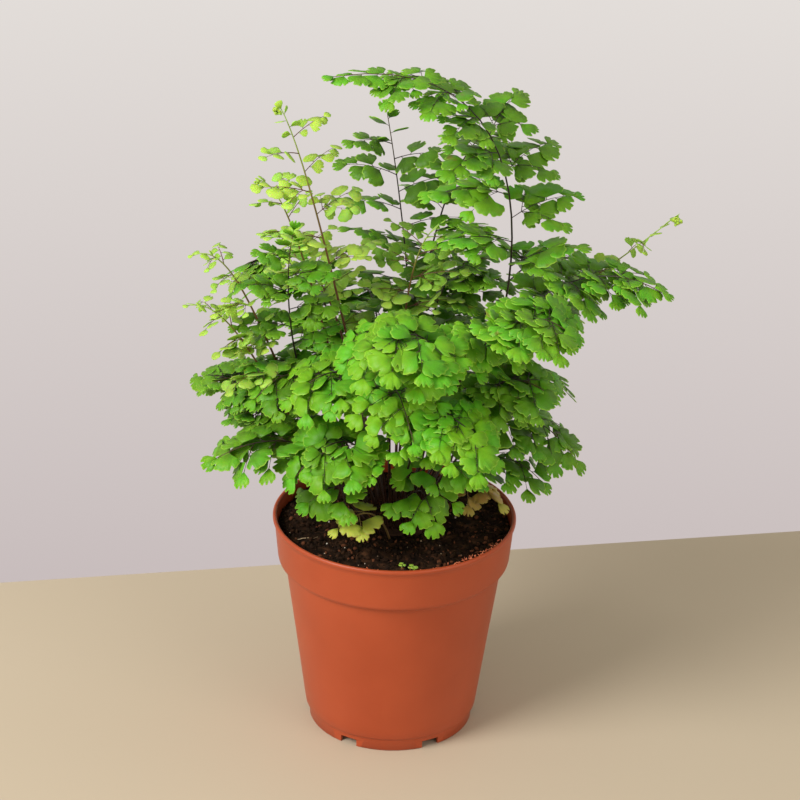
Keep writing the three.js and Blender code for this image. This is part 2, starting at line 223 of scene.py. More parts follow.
plastic, nodes, links, surface = new_material("terracotta plastic")
grain = nodes.new("ShaderNodeGroup")
grain.node_tree = fine_grain
grain.inputs["Scale"].default_value = 22
tone = colour_ramp(nodes, [(0.3, (0.38, 0.060, 0.016)), (0.7, (0.45, 0.077, 0.023))])
links.new(grain.outputs["Mask"], tone.inputs["Fac"])
links.new(tone.outputs["Color"], surface.inputs["Base Color"])
shine = nodes.new("ShaderNodeMapRange")
shine.inputs["To Min"].default_value = 0.35
shine.inputs["To Max"].default_value = 0.5
links.new(grain.outputs["Mask"], shine.inputs["Value"])
links.new(shine.outputs["Result"], surface.inputs["Roughness"])
texture = nodes.new("ShaderNodeBump")
texture.inputs["Strength"].default_value = 0.12
texture.inputs["Distance"].default_value = 0.1 * MM
links.new(grain.outputs["Height"], texture.inputs["Height"])
links.new(texture.outputs["Normal"], surface.inputs["Normal"])
surface.inputs["Subsurface Weight"].default_value = 0.08
surface.inputs["Subsurface Radius"].default_value = (1, 0.3, 0.15)
surface.inputs["Subsurface Scale"].default_value = 1.5 * MM
surface.inputs["Specular IOR Level"].default_value = 0.4
pot.data.materials.clear()
pot.data.materials.append(plastic)
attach(pot, "root")
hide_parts("nursery_pot")

# ---------------------------------------------------------------------------------------------------
# Potting soil
# Damp peat compost, filled to just below the lip and pressed into uneven lumps. Crumbs, fibres, a straw
# and a few pale grains lie loose on it, and plastic swarf has stuck to the pot's lip.
# ---------------------------------------------------------------------------------------------------
soil_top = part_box("potting_soil")[1].z / MM
soil_edge_level = soil_top - 2.6
soil_radius = 57


def soil_level(x, y):
    """Height of the soil's surface, in millimetres, at a place in millimetres."""
    far = math.hypot(x, y) / soil_radius
    heap = soil_edge_level + (soil_top - 1.4 - soil_edge_level) * max(0, 1 - far * far)
    where = Vector((x, y, 7.3))
    lumps = 1.5 * noise.fractal(where * 0.07, 0.9, 2.0, 3)
    crumb = 0.75 * noise.fractal(where * 0.33, 0.7, 2.1, 3)
    return heap + lumps + crumb


bm = bmesh.new()
rings = 44
section = [(0, soil_top)] + [(soil_radius * (i / rings) ** 0.8, soil_top) for i in range(1, rings + 1)]
section += [(55.6, collar_low + 3), (52, collar_low - 3), (41.5, 12), (39, 6.4), (0, 6.4)]
outline = [bm.verts.new((radius * MM, 0, height * MM)) for radius, height in section]
edges = [bm.edges.new(pair) for pair in zip(outline, outline[1:])]
bmesh.ops.spin(
    bm, geom=outline + edges, cent=(0, 0, 0), axis=(0, 0, 1), angle=math.tau, steps=210, use_merge=True
)
bmesh.ops.remove_doubles(bm, verts=bm.verts, dist=0.01 * MM)
for vert in bm.verts:
    if vert.co.z > (soil_top - 1) * MM:
        vert.co.z = soil_level(vert.co.x / MM, vert.co.y / MM) * MM
bmesh.ops.recalc_face_normals(bm, faces=bm.faces)
soil_mesh = bpy.data.meshes.new("soil_bed")
bm.to_mesh(soil_mesh)
bm.free()
soil = bpy.data.objects.new("soil_bed", soil_mesh)
bpy.context.collection.objects.link(soil)
for face in soil.data.polygons:
    face.use_smooth = True

peat, nodes, links, surface = new_material("damp peat")
grain = nodes.new("ShaderNodeGroup")
grain.node_tree = fine_grain
grain.inputs["Scale"].default_value = 170
tone = colour_ramp(
    nodes,
    [
        (0.3, (0.004, 0.002, 0.001)),
        (0.48, (0.017, 0.008, 0.004)),
        (0.6, (0.042, 0.019, 0.009)),
        (0.72, (0.10, 0.042, 0.02)),
    ],
)
links.new(grain.outputs["Mask"], tone.inputs["Fac"])
links.new(tone.outputs["Color"], surface.inputs["Base Color"])
surface.inputs["Roughness"].default_value = 0.95
surface.inputs["Specular IOR Level"].default_value = 0.12
texture = nodes.new("ShaderNodeBump")
texture.inputs["Strength"].default_value = 1.0
texture.inputs["Distance"].default_value = 0.6 * MM
links.new(grain.outputs["Mask"], texture.inputs["Height"])
links.new(texture.outputs["Normal"], surface.inputs["Normal"])
soil.data.materials.append(peat)
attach(soil, "root")
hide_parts("potting_soil")


def shade_attribute_material(name, stops, attribute, roughness, scale, bump):
    """A rough material whose colour follows a number that each lump, leaf or stem carries."""
    material, nodes, links, surface = new_material(name)
    number = nodes.new("ShaderNodeAttribute")
    number.attribute_name = attribute
    grain = nodes.new("ShaderNodeGroup")
    grain.node_tree = fine_grain
    grain.inputs["Scale"].default_value = scale
    tone = colour_ramp(nodes, stops)
    mixed = nodes.new("ShaderNodeMath")
    mixed.operation = "MULTIPLY_ADD"
    mixed.inputs[1].default_value = 0.25
    shift = nodes.new("ShaderNodeMath")
    shift.operation = "SUBTRACT"
    shift.inputs[1].default_value = 0.125
    links.new(grain.outputs["Mask"], mixed.inputs[0])
    links.new(number.outputs["Fac"], shift.inputs[0])
    links.new(shift.outputs[0], mixed.inputs[2])
    links.new(mixed.outputs[0], tone.inputs["Fac"])
    links.new(tone.outputs["Color"], surface.inputs["Base Color"])
    surface.inputs["Roughness"].default_value = roughness
    surface.inputs["Specular IOR Level"].default_value = 0.5 if roughness < 0.6 else 0.15
    texture = nodes.new("ShaderNodeBump")
    texture.inputs["Strength"].default_value = bump
    texture.inputs["Distance"].default_value = 0.2 * MM
    links.new(grain.outputs["Height"], texture.inputs["Height"])
    links.new(texture.outputs["Normal"], surface.inputs["Normal"])
    return material


def finish_piece(bm, name, materials, body="root"):
    """Turns a built mesh into a piece that rides on the pot."""
    mesh = bpy.data.meshes.new(name)
    bm.to_mesh(mesh)
    bm.free()
    piece = bpy.data.objects.new(name, mesh)
    bpy.context.collection.objects.link(piece)
    for material in materials:
        mesh.materials.append(material)
    for face in mesh.polygons:
        face.use_smooth = True
    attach(piece, body)
    return piece


# Loose crumbs of peat and bark, from dust to 3 mm lumps.
dice = random.Random(12)
bm = bmesh.new()
number = bm.verts.layers.float.new("tone")
for i in range(2400):
    radius = soil_radius * math.sqrt(dice.random()) * 0.995
    angle = dice.uniform(0, math.tau)
    x, y = radius * math.cos(angle), radius * math.sin(angle)
    size = dice.choice((0.35, 0.5, 0.6, 0.7, 0.9, 1.2, 1.5))
    place = Matrix.Translation((x * MM, y * MM, (soil_level(x, y) + 0.25 * size) * MM))
    turn = Matrix.Rotation(dice.uniform(0, math.tau), 4, Vector((dice.gauss(0, 1), dice.gauss(0, 1), 1)))
    squash = Vector((1, dice.uniform(0.5, 1), dice.uniform(0.4, 0.8)))
    shape = Matrix.Diagonal((*(squash * size * MM), 1))
    made = bmesh.ops.create_icosphere(bm, subdivisions=1, radius=1, matrix=place @ turn @ shape)
    tint = dice.choice((0.1, 0.2, 0.2, 0.3, 0.45, 0.9))
    for vert in made["verts"]:
        vert[number] = tint
        vert.co += 0.18 * size * MM * noise.noise_vector(vert.co * 900)
crumb_colours = [
    (0.0, (0.007, 0.0035, 0.002)),
    (0.35, (0.028, 0.013, 0.006)),
    (0.7, (0.075, 0.032, 0.014)),
    (1.0, (0.17, 0.058, 0.026)),
]
crumb_material = shade_attribute_material("peat crumbs", crumb_colours, "tone", 0.9, 500, 0.5)
crumbs = finish_piece(bm, "soil_crumbs", [crumb_material])


def tube(bm, points, radii, sides, layer, values, material=0, cap=True):
    """A round stem through the points: one ring, extruded from point to point."""
    heading = (points[1] - points[0]).normalized()
    turn = heading.to_track_quat("Z", "Y")
    before = Matrix.Translation(points[0]) @ turn.to_matrix().to_4x4() @ Matrix.Scale(radii[0], 4)
    ring = bmesh.ops.create_circle(bm, segments=sides, radius=1, matrix=before)["verts"]
    for vert in ring:
        vert[layer] = values[0]
    loop = list({edge for vert in ring for edge in vert.link_edges})
    if cap:
        bmesh.ops.edgeloop_fill(bm, edges=loop, mat_nr=material)
    for i in range(1, len(points)):
        ahead = points[min(i + 1, len(points) - 1)] - points[i - 1]
        turn = heading.rotation_difference(ahead) @ turn
        heading = ahead
        after = Matrix.Translation(points[i]) @ turn.to_matrix().to_4x4() @ Matrix.Scale(radii[i], 4)
        grown = bmesh.ops.extrude_edge_only(bm, edges=loop)["geom"]
        verts = [item for item in grown if isinstance(item, bmesh.types.BMVert)]
        loop = [item for item in grown if isinstance(item, bmesh.types.BMEdge)]
        for item in grown:
            if isinstance(item, bmesh.types.BMFace):
                item.material_index = material
        bmesh.ops.transform(bm, matrix=after @ before.inverted(), verts=verts)
        for vert in verts:
            vert[layer] = values[i]
        before = after
    bmesh.ops.edgeloop_fill(bm, edges=loop, mat_nr=material)


# Root and bark fibres, with one pale straw at the left.
bm = bmesh.new()
number = bm.verts.layers.float.new("tone")
for i in range(90):
    radius = 54 * math.sqrt(dice.random())
    angle = dice.uniform(0, math.tau)
    heading = dice.uniform(0, math.tau)
    length = dice.uniform(3, 11)
    tint = dice.choice((0.1, 0.2, 0.35, 0.5, 0.65))
    thick = dice.uniform(0.1, 0.24)
    x, y = radius * math.cos(angle), radius * math.sin(angle)
    if i == 0:
        x, y, heading, length, tint, thick = -47, -20, 0.35, 11, 1.0, 0.3
    points = []
    for k in range(5):
        points.append(Vector((x * MM, y * MM, (soil_level(x, y) + thick + 0.25 * math.sin(k * 1.6)) * MM)))
        heading += dice.uniform(-0.35, 0.35) if i else 0.03
        x += length / 4 * math.cos(heading)
        y += length / 4 * math.sin(heading)
    if max(math.hypot(p.x, p.y) for p in points) < 56 * MM:
        tube(bm, points, [thick * MM * f for f in (0.6, 1, 1, 0.9, 0.4)], 5, number, [tint] * 5)
bmesh.ops.recalc_face_normals(bm, faces=bm.faces)
fibre_colours = [(0.0, (0.012, 0.007, 0.004)), (0.6, (0.10, 0.045, 0.02)), (1.0, (0.50, 0.36, 0.22))]
fibre_material = shade_attribute_material("peat fibres", fibre_colours, "tone", 0.8, 600, 0.3)
fibres = finish_piece(bm, "soil_fibres", [fibre_material])

# Pale grains of perlite and sand in the peat, and terracotta swarf along the lip.
bm = bmesh.new()
number = bm.verts.layers.float.new("tone")
for i in range(34):
    radius = 53 * math.sqrt(dice.random())
    angle = dice.gauss(-1.9, 0.7) if i % 2 else dice.uniform(0, math.tau)
    size = dice.uniform(0.22, 0.6)
    x, y = radius * math.cos(angle), radius * math.sin(angle)
    place = Matrix.Translation((x * MM, y * MM, (soil_level(x, y) + 0.6 * size + 0.3) * MM))
    made = bmesh.ops.create_icosphere(bm, subdivisions=1, radius=size * MM, matrix=place)
    tint = dice.uniform(0.2, 1)
    for vert in made["verts"]:
        vert[number] = tint
        vert.co += 0.3 * size * MM * noise.noise_vector(vert.co * 1500)
grit_colours = [(0.0, (0.16, 0.09, 0.05)), (0.6, (0.45, 0.33, 0.22)), (1.0, (0.8, 0.74, 0.64))]
grit_material = shade_attribute_material("pale grit", grit_colours, "tone", 0.7, 700, 0.3)
grit = finish_piece(bm, "soil_grit", [grit_material])

bm = bmesh.new()
number = bm.verts.layers.float.new("tone")
for i in range(90):
    angle = math.radians(dice.gauss(-46, 11) if i % 4 else dice.uniform(-110, -20))
    radius = rim_radius - dice.uniform(1.2, 3.4)
    size = dice.uniform(0.8, 2.1)
    level = pot_height - dice.uniform(0, 1.6)
    start = Vector((radius * math.cos(angle), radius * math.sin(angle), level)) * MM
    heading = Vector((dice.gauss(0, 1), dice.gauss(0, 1), dice.uniform(0, 0.9))).normalized() * size * MM
    points = [start, start + heading * 0.5 + UP * 0.1 * MM, start + heading]
    tube(bm, points, [0.16 * MM, 0.2 * MM, 0.1 * MM], 5, number, [dice.random()] * 3)
bmesh.ops.recalc_face_normals(bm, faces=bm.faces)
swarf_colours = [(0.0, (0.45, 0.085, 0.03)), (1.0, (0.85, 0.26, 0.12))]
swarf_material = shade_attribute_material("plastic swarf", swarf_colours, "tone", 0.45, 500, 0.1)
swarf = finish_piece(bm, "lip_swarf", [swarf_material])

# ---------------------------------------------------------------------------------------------------
# Rhizome
# The creeping rootstock at the middle of the pot that every stalk rises from. It is a low, knobbly mat
# covered in narrow brown scales.
# ---------------------------------------------------------------------------------------------------
rhizome_low, rhizome_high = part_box("rhizome")
rhizome_middle = (rhizome_low + rhizome_high) / 2
rhizome_half = (rhizome_high - rhizome_low) / 2
bm = bmesh.new()
number = bm.verts.layers.float.new("tone")
bmesh.ops.create_icosphere(bm, subdivisions=5, radius=1)
for vert in bm.verts:
    knob = 1 + 0.16 * noise.noise(vert.co * 2.6) + 0.05 * noise.noise(vert.co * 9)
    vert[number] = 0.3 + 0.3 * noise.noise(vert.co * 6)
    vert.co = rhizome_middle + Vector([c * half * knob * 0.93 for c, half in zip(vert.co, rhizome_half)])
crown = [vert.co.copy() for vert in bm.verts if vert.co.z > rhizome_middle.z + 0.3 * rhizome_half.z]
for i in range(420):
    root = dice.choice(crown)
    lean = Vector((dice.gauss(0, 1), dice.gauss(0, 1), dice.uniform(0.2, 1.4))).normalized()
    length = dice.uniform(1.2, 3.2) * MM
    tint = dice.uniform(0.3, 1)
    points = [root - lean * 0.3 * MM, root + lean * length * 0.5, root + lean * length - UP * length * 0.15]
    tube(bm, points, [0.3 * MM, 0.26 * MM, 0.05 * MM], 3, number, [tint, tint, tint])
bmesh.ops.recalc_face_normals(bm, faces=bm.faces)
rhizome_colours = [(0.0, (0.012, 0.006, 0.004)), (0.5, (0.05, 0.022, 0.012)), (1.0, (0.22, 0.085, 0.035))]
rhizome_material = shade_attribute_material("rhizome scales", rhizome_colours, "tone", 0.8, 400, 0.6)
rhizome = finish_piece(bm, "rhizome_mat", [rhizome_material])
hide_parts("rhizome")

# ---------------------------------------------------------------------------------------------------
# Leaflets
# Thin fans on hair-like black stalks, wedge-shaped at the base and scalloped round the outer margin, with
# veins that fork outwards and a paler edge. One shape of each kind is made here and copied.
# ---------------------------------------------------------------------------------------------------
def leaflet_shape(name, teeth, clefts, half_angle, shoulder, lean=0.0, tooth_depth=0.05, cleft_depth=0.27):
    """A leaflet about 1 long: it hangs on the origin, its margin lies along +X and its top is +Z."""
    stalk_length = 0.14
    bm = bmesh.new()
    bm.loops.layers.uv.new("UVMap")
    bmesh.ops.create_grid(bm, x_segments=2, y_segments=3 * teeth, size=0.5, calc_uvs=True)
    for vert in bm.verts:
        out = vert.co.x + 0.5
        turn = 2 * vert.co.y
        step = round((turn + 1) / 2 * 3 * teeth)
        dip = 0
        if step % 3 == 0 and 0 < step < 3 * teeth:
            dip = cleft_depth if step // 3 in clefts else tooth_depth
        edge = 1 - shoulder * abs(turn) ** 5 + lean * turn
        reach = out * edge * (1 - dip * out * out)
        angle = half_angle * turn
        along = reach * math.cos(angle)
        across = reach * math.sin(angle)
        pleat = 0.014 * out * math.cos(turn * math.pi * (len(clefts) + 1))
        vert.co = (stalk_length + along, across, pleat - 0.09 * along * along - 0.06 * across * across)
    strip = bmesh.ops.create_grid(bm, x_segments=1, y_segments=1, size=0.5)["verts"]
    for vert in strip:
        vert.co = ((vert.co.x + 0.5) * (stalk_length + 0.03), vert.co.y * 0.03, -0.004)
    for face in strip[0].link_faces:
        face.material_index = 1
    bmesh.ops.remove_doubles(bm, verts=bm.verts, dist=1e-3)
    bmesh.ops.recalc_face_normals(bm, faces=bm.faces)
    for face in bm.faces:
        if face.normal.z < 0:
            face.normal_flip()
    mesh = bpy.data.meshes.new(name)
    bm.to_mesh(mesh)
    bm.free()
    return mesh


fans = [
    leaflet_shape("broad fan", 6, (2, 4), math.radians(62), 0.3),
    leaflet_shape("broad fan leaning forward", 6, (2, 5), math.radians(58), 0.32, 0.14),
    leaflet_shape("broad fan leaning back", 6, (1, 4), math.radians(60), 0.32, -0.12),
    leaflet_shape("round fan", 6, (3,), math.radians(66), 0.26, 0.05, 0.05, 0.2),
    leaflet_shape("narrow fan", 5, (2,), math.radians(50), 0.3, 0.05, 0.06, 0.26),
]
end_fans = [
    leaflet_shape("end fan", 5, (2, 3), math.radians(44), 0.34, 0, 0.06, 0.26),
    leaflet_shape("wide end fan", 6, (2, 4), math.radians(52), 0.36, 0, 0.05, 0.28),
]
young_fans = [
    leaflet_shape("young fan", 4, (2,), math.radians(52), 0.34, 0.06, 0.05, 0.1),
    leaflet_shape("young round fan", 4, (), math.radians(60), 0.3, -0.05, 0.04, 0.08),
    leaflet_shape("young narrow fan", 3, (), math.radians(38), 0.36, 0, 0.04, 0.08),
]


def leaf_surface_group():
    """Vein, margin and patch colours of a leaflet, from its own map: out to the margin and across it."""
    group = bpy.data.node_groups.new("leaf surface", "ShaderNodeTree")
    for name in ("Deep and shaded", "Bright", "Margin"):
        group.interface.new_socket(name, in_out="INPUT", socket_type="NodeSocketColor")
    group.interface.new_socket("Veins", in_out="INPUT", socket_type="NodeSocketFloat")
    group.interface.new_socket("Blueness", in_out="INPUT", socket_type="NodeSocketFloat")
    group.interface.new_socket("Color", in_out="OUTPUT", socket_type="NodeSocketColor")
    group.interface.new_socket("Roughness", in_out="OUTPUT", socket_type="NodeSocketFloat")
    group.interface.new_socket("Height", in_out="OUTPUT", socket_type="NodeSocketFloat")
    nodes, links = group.nodes, group.links
    given = nodes.new("NodeGroupInput")
    made = nodes.new("NodeGroupOutput")
    leaf_map = nodes.new("ShaderNodeUVMap")
    leaf_map.uv_map = "UVMap"
    split = nodes.new("ShaderNodeSeparateXYZ")
    links.new(leaf_map.outputs["UV"], split.inputs["Vector"])
    place = nodes.new("ShaderNodeTexCoord")
    patch = nodes.new("ShaderNodeTexNoise")
    patch.inputs["Scale"].default_value = 190
    patch.inputs["Detail"].default_value = 3
    links.new(place.outputs["Object"], patch.inputs["Vector"])

    def step(operation, first, second=None, third=None):
        node = nodes.new("ShaderNodeMath")
        node.operation = operation
        for socket, value in zip(node.inputs, (first, second, third)):
            if value is None:
                continue
            if isinstance(value, (int, float)):
                socket.default_value = value
            else:
                links.new(value, socket)
        return node.outputs[0]

    # Veins: a fan of fine ridges whose number doubles half way out, where each one forks.
    bent = step("MULTIPLY_ADD", patch.outputs["Fac"], 0.03, split.outputs["Y"])
    inner = step("ABSOLUTE", step("SINE", step("MULTIPLY", bent, math.pi * 10)))
    outer = step("ABSOLUTE", step("SINE", step("MULTIPLY", bent, math.pi * 20)))
    forked = step("GREATER_THAN", split.outputs["X"], 0.5)
    both = nodes.new("ShaderNodeMix")
    both.data_type = "FLOAT"
    links.new(forked, both.inputs["Factor"])
    links.new(inner, both.inputs[2])
    links.new(outer, both.inputs[3])
    vein = step("POWER", step("SUBTRACT", 1, both.outputs[0]), 4)
    vein_mask = step("MULTIPLY", vein, given.outputs["Veins"])

    # Each leaflet's tint sets where it lies between the deep and the bright green. The tint is partly the
    # frond's own paleness and partly painted light and shade: fronds at the lit front are painted lighter,
    # fronds at the back and underneath painted darker.
    tint = nodes.new("ShaderNodeAttribute")
    tint.attribute_name = "tint"
    share = step("MULTIPLY_ADD", patch.outputs["Fac"], 0.5, step("SUBTRACT", tint.outputs["Fac"], 0.25))
    share = step("ADD", share, step("MULTIPLY", step("POWER", split.outputs["X"], 2), 0.16))
    body = nodes.new("ShaderNodeMix")
    body.data_type = "RGBA"
    body.clamp_factor = True
    links.new(share, body.inputs["Factor"])
    links.new(given.outputs["Deep and shaded"], body.inputs[6])
    links.new(given.outputs["Bright"], body.inputs[7])
    # Whole leaflets differ in how blue their green is; leaflets painted as shaded, low in share, stay
    # yellower.
    drift = nodes.new("ShaderNodeTexNoise")
    drift.inputs["Scale"].default_value = 55
    links.new(place.outputs["Object"], drift.inputs["Vector"])
    blueness = nodes.new("ShaderNodeMapRange")
    blueness.inputs["From Min"].default_value = 0.42
    blueness.inputs["From Max"].default_value = 0.62
    links.new(drift.outputs["Fac"], blueness.inputs["Value"])
    cooled = nodes.new("ShaderNodeMix")
    cooled.data_type = "RGBA"
    cooled.blend_type = "MULTIPLY"
    cooled.inputs[7].default_value = (0.62, 0.98, 1.2, 1)
    cooled.clamp_factor = True
    cool = step("MULTIPLY", blueness.outputs["Result"], given.outputs["Blueness"])
    links.new(step("MULTIPLY", cool, share), cooled.inputs["Factor"])
    links.new(body.outputs[2], cooled.inputs[6])
    veined = nodes.new("ShaderNodeMix")
    veined.data_type = "RGBA"
    links.new(vein_mask, veined.inputs["Factor"])
    links.new(cooled.outputs[2], veined.inputs[6])
    links.new(given.outputs["Margin"], veined.inputs[7])
    rim = nodes.new("ShaderNodeMapRange")
    rim.interpolation_type = "SMOOTHSTEP"
    rim.inputs["From Min"].default_value = 0.92
    rim.inputs["From Max"].default_value = 0.99
    rim.inputs["To Max"].default_value = 0.6
    links.new(split.outputs["X"], rim.inputs["Value"])
    edged = nodes.new("ShaderNodeMix")
    edged.data_type = "RGBA"
    links.new(rim.outputs["Result"], edged.inputs["Factor"])
    links.new(veined.outputs[2], edged.inputs[6])
    links.new(given.outputs["Margin"], edged.inputs[7])
    # A few leaflets have a brown, scorched fleck.
    scorch = nodes.new("ShaderNodeTexNoise")
    scorch.inputs["Scale"].default_value = 70
    links.new(place.outputs["Object"], scorch.inputs["Vector"])
    fleck = nodes.new("ShaderNodeMapRange")
    fleck.inputs["From Min"].default_value = 0.71
    fleck.inputs["From Max"].default_value = 0.76
    fleck.inputs["To Max"].default_value = 0.55
    links.new(scorch.outputs["Fac"], fleck.inputs["Value"])
    browned = nodes.new("ShaderNodeMix")
    browned.data_type = "RGBA"
    browned.inputs[7].default_value = (0.2, 0.085, 0.02, 1)
    links.new(fleck.outputs["Result"], browned.inputs["Factor"])
    links.new(edged.outputs[2], browned.inputs[6])
    links.new(browned.outputs[2], made.inputs["Color"])
    links.new(step("MULTIPLY_ADD", patch.outputs["Fac"], 0.2, 0.36), made.inputs["Roughness"])
    links.new(step("MULTIPLY_ADD", vein, -0.6, patch.outputs["Fac"]), made.inputs["Height"])
    return group


leaf_surface = leaf_surface_group()


def leaf_material(name, deep, bright, margin, veins, blueness, translucency):
    material, nodes, links, surface = new_material(name)
    blade = nodes.new("ShaderNodeGroup")
    blade.node_tree = leaf_surface
    blade.inputs["Deep and shaded"].default_value = (*deep, 1)
    blade.inputs["Bright"].default_value = (*bright, 1)
    blade.inputs["Margin"].default_value = (*margin, 1)
    blade.inputs["Veins"].default_value = veins
    blade.inputs["Blueness"].default_value = blueness
    texture = nodes.new("ShaderNodeBump")
    texture.inputs["Strength"].default_value = 0.35
    texture.inputs["Distance"].default_value = 0.15 * MM
    links.new(blade.outputs["Color"], surface.inputs["Base Color"])
    links.new(blade.outputs["Roughness"], surface.inputs["Roughness"])
    links.new(blade.outputs["Height"], texture.inputs["Height"])
    links.new(texture.outputs["Normal"], surface.inputs["Normal"])
    surface.inputs["Specular IOR Level"].default_value = 0.25
    surface.inputs["Subsurface Weight"].default_value = translucency
    surface.inputs["Subsurface Radius"].default_value = (0.5, 1.0, 0.1)
    surface.inputs["Subsurface Scale"].default_value = 0.5 * MM
    return material


# The deep and bright ends of each leaf colour are partly the leaf's own colour and partly painted shade and
# painted light: leaflets the tint puts at the deep end are painted as shaded, those at the bright end as
# lit. The yellowed leaf's ends are its own tan and yellow.
mature_leaf = leaf_material(
    "mature leaf", (0.056, 0.15, 0.008), (0.182, 0.44, 0.012), (0.36, 0.62, 0.06), 0.14, 1.4, 0.35
)
young_leaf = leaf_material(
    "young leaf", (0.14, 0.33, 0.02), (0.44, 0.64, 0.08), (0.46, 0.68, 0.14), 0.1, 0.5, 0.45
)
old_leaf = leaf_material(
    "yellowed leaf", (0.42, 0.24, 0.06), (0.50, 0.58, 0.08), (0.42, 0.34, 0.08), 0.25, 0, 0.3
)


def stem_material(name, stops, roughness):
    material = shade_attribute_material(name, stops, "along", roughness, 350, 0.2)
    return material


black_stem = stem_material(
    "wiry black stalk",
    [
        (0.0, (0.05, 0.02, 0.012)),
        (0.25, (0.016, 0.008, 0.006)),
        (0.8, (0.02, 0.01, 0.007)),
        (1.0, (0.09, 0.06, 0.015)),
    ],
    0.32,
)
young_stem = stem_material(
    "ripening young stalk",
    [
        (0.0, (0.04, 0.016, 0.008)),
        (0.45, (0.14, 0.045, 0.02)),
        (0.68, (0.2, 0.13, 0.03)),
        (0.85, (0.3, 0.42, 0.07)),
        (1.0, (0.4, 0.62, 0.12)),
    ],
    0.4,
)
old_stem = stem_material(
    "withered stalk",
    [(0.0, (0.16, 0.09, 0.03)), (0.6, (0.34, 0.25, 0.09)), (1.0, (0.3, 0.16, 0.06))],
    0.6,
)
